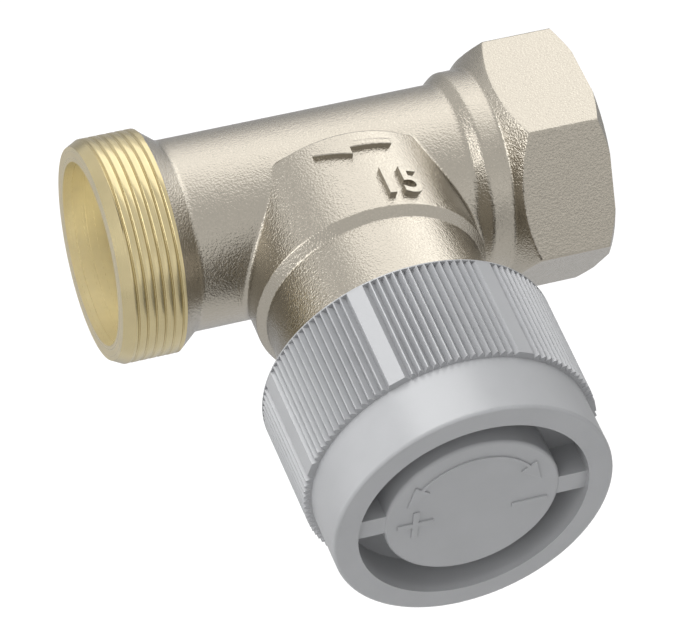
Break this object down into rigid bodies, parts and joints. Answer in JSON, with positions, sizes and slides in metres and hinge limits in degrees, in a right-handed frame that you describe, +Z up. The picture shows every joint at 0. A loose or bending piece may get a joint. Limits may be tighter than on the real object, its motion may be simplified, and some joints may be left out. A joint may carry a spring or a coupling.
{
  "type": "radiator valve",
  "caption": "Straight nickel-plated brass radiator valve with a hexagonal threaded inlet, a threaded outlet, a spring-loaded stem and a ribbed grey protective cap that opens and shuts it.",
  "frame": {"origin": "centre of the inlet thread's mouth, on the flow line, in the plane of the hexagon's end face", "axes": "+X out of the inlet along the flow line, -Y out along the neck to the cap, +Z up"},
  "size_m": [0.0595, 0.064, 0.0348],
  "materials": {
    "nickel_plated_brass": "fine cast grain under nickel plating, with bare turned brass at the outlet",
    "plain_brass": "turned",
    "stainless_steel": "ground",
    "seal_rubber": "matt",
    "bearing_plastic": "matt",
    "grey_plastic": "satin moulded"
  },
  "bodies": {
    "valve": {"valve_body": "nickel_plated_brass", "bonnet": "plain_brass", "bonnet_o_ring": "seal_rubber", "guide_bush": "bearing_plastic", "gland_screw": "plain_brass", "gland_o_ring": "seal_rubber", "wiper_ring": "bearing_plastic", "pin_o_ring_inner": "seal_rubber", "pin_o_ring_outer": "seal_rubber", "return_spring": "stainless_steel"},
    "stem": {"pressure_pin": "stainless_steel", "stem": "stainless_steel", "stem_clip": "stainless_steel", "spring_plate": "stainless_steel", "disc_holder": "plain_brass", "disc_seal": "seal_rubber", "disc_washer": "plain_brass", "disc_nut": "plain_brass"},
    "cap": {"protective_cap": "grey_plastic"}
  },
  "joints": [
    {"name": "stem_lift", "type": "slide", "parent": "valve", "child": "stem", "axis": [0, 1, 0], "range_m": [0, 0.003], "deforming": ["return_spring"]},
    {"name": "cap_turn", "type": "hinge", "parent": "stem", "child": "cap", "pos_m": [-0.0302, -0.0455, 0], "axis": [0, 1, 0], "range_deg": [0, 720]}
  ],
  "couplings": [
    {"joint": "cap_turn", "follows": "stem_lift", "rad_per_m": 4188.8}
  ]
}
